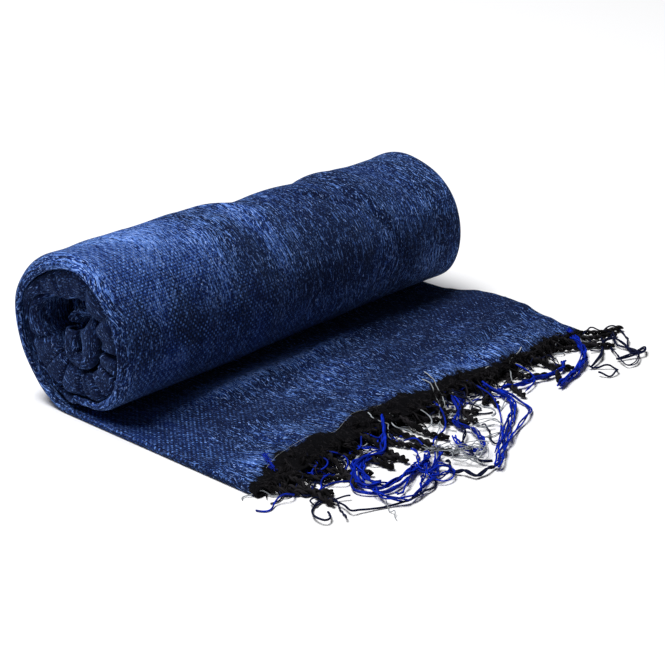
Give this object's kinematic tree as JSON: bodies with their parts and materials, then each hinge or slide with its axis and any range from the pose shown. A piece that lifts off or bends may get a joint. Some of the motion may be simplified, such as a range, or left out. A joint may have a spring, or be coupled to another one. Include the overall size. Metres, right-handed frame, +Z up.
{
  "type": "rolled pashmina shawl",
  "caption": "Heathered woven shawl folded lengthwise and rolled, with its fringed end lying flat in front of the roll.",
  "frame": {"origin": "on the resting surface, below the middle of the roll's axis", "axes": "+X along the roll from the lengthwise fold to the selvages, +Z up, the flat fringed end towards -Y"},
  "size_m": [0.3809, 0.3267, 0.1161],
  "materials": {
    "cloth": "brushed heathered weave, matt",
    "fringe": "black twisted wool, matt",
    "blue_yarn": "royal blue yarn, soft sheen",
    "pale_yarn": "pale grey yarn, matt"
  },
  "bodies": {
    "root": {"tail": "cloth", "outer_turn": "cloth", "hidden_turns": "cloth", "fringe_upper": "fringe", "fringe_under": "fringe"}
  },
  "joints": []
}
